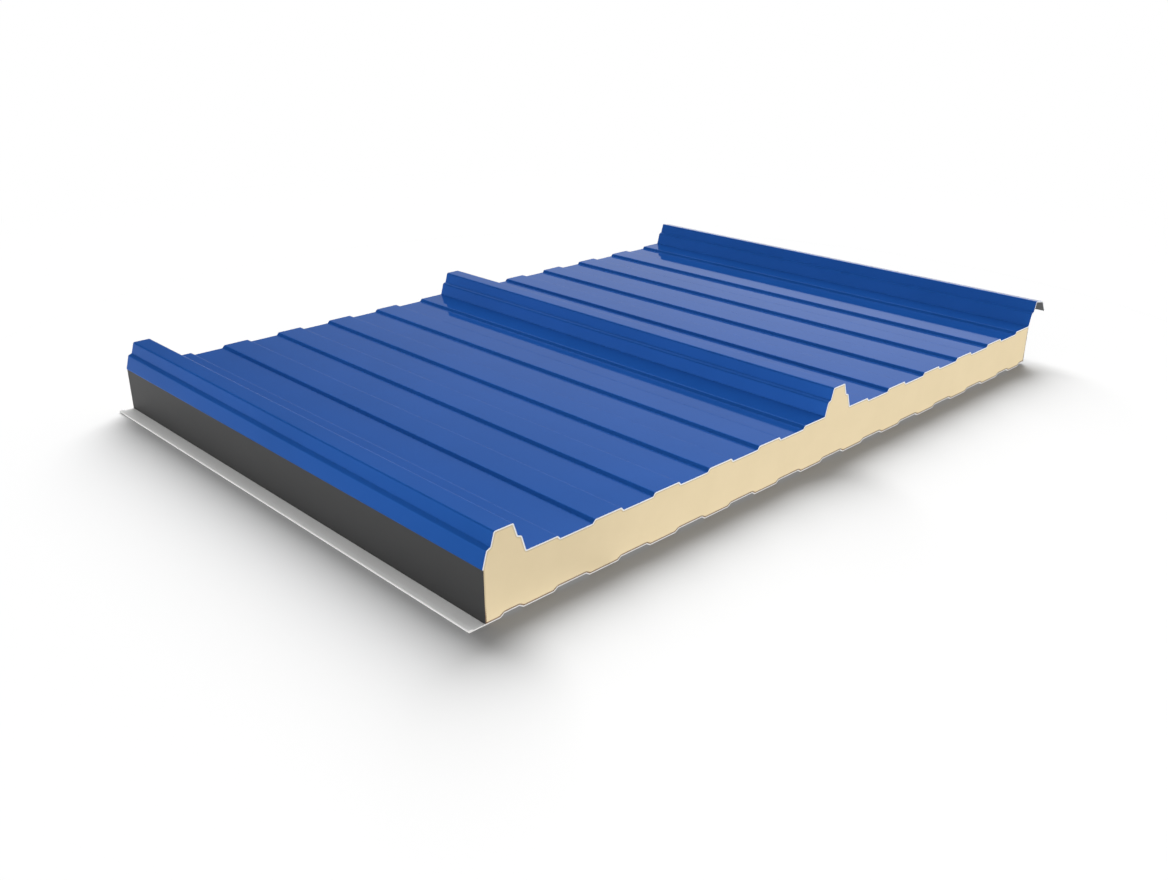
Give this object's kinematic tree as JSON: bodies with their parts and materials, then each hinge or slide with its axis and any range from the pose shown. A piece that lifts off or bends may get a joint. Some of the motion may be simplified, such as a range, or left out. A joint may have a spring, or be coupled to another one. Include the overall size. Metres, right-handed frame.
{
  "type": "insulated sandwich panel",
  "caption": "Short length of insulated roof panel with a ribbed blue metal outer sheet, a thick foam core, a shallow-fluted pale inner sheet and lapping long edges.",
  "frame": {"origin": "middle of the bounding box's underside, level with the flats of the inner sheet", "axes": "+Z is the weather side, +Y runs along the ribs, +X points from the lap flange to the side-lap rib"},
  "size_m": [1.061, 0.715, 0.0893],
  "materials": {
    "outer_sheet": "semi-gloss blue coil coating with bright cut edges",
    "foam_core": "matte cream rigid foam, saw-cut at both ends",
    "inner_sheet": "satin off-white coil coating",
    "side_tape": "matte charcoal sealing tape"
  },
  "bodies": {
    "root": {"outer_sheet": "outer_sheet", "foam_core": "foam_core", "inner_sheet": "inner_sheet", "left_side_tape": "side_tape", "right_side_tape": "side_tape"}
  },
  "joints": []
}
